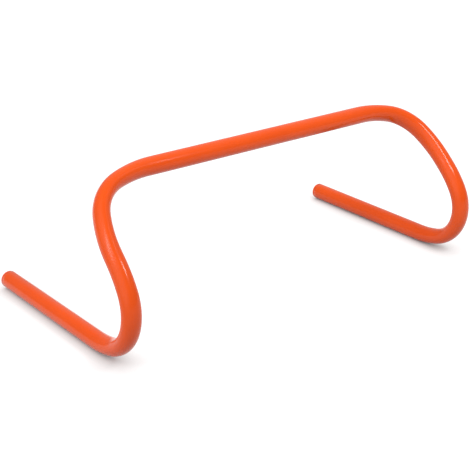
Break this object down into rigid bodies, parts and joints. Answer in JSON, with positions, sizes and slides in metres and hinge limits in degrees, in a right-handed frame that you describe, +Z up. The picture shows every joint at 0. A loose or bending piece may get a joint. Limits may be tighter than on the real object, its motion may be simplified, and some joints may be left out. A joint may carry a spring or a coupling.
{
  "type": "speed hurdle",
  "caption": "Low free-standing speed hurdle bent from one plastic tube: straight crossbar, legs leaning back, long parallel feet closed by ribbed push-in plugs.",
  "frame": {"origin": "on the floor, at the centre of the footprint", "axes": "+X along the crossbar, +Y from the front bends towards the foot ends, +Z up"},
  "size_m": [0.4686, 0.2536, 0.1731],
  "materials": {
    "tube_plastic": "satin gloss orange, extruded and hot bent",
    "plug_plastic": "satin orange, moulded"
  },
  "bodies": {
    "root": {"bent_tube": "tube_plastic", "left_end_plug": "plug_plastic", "right_end_plug": "plug_plastic"}
  },
  "joints": []
}
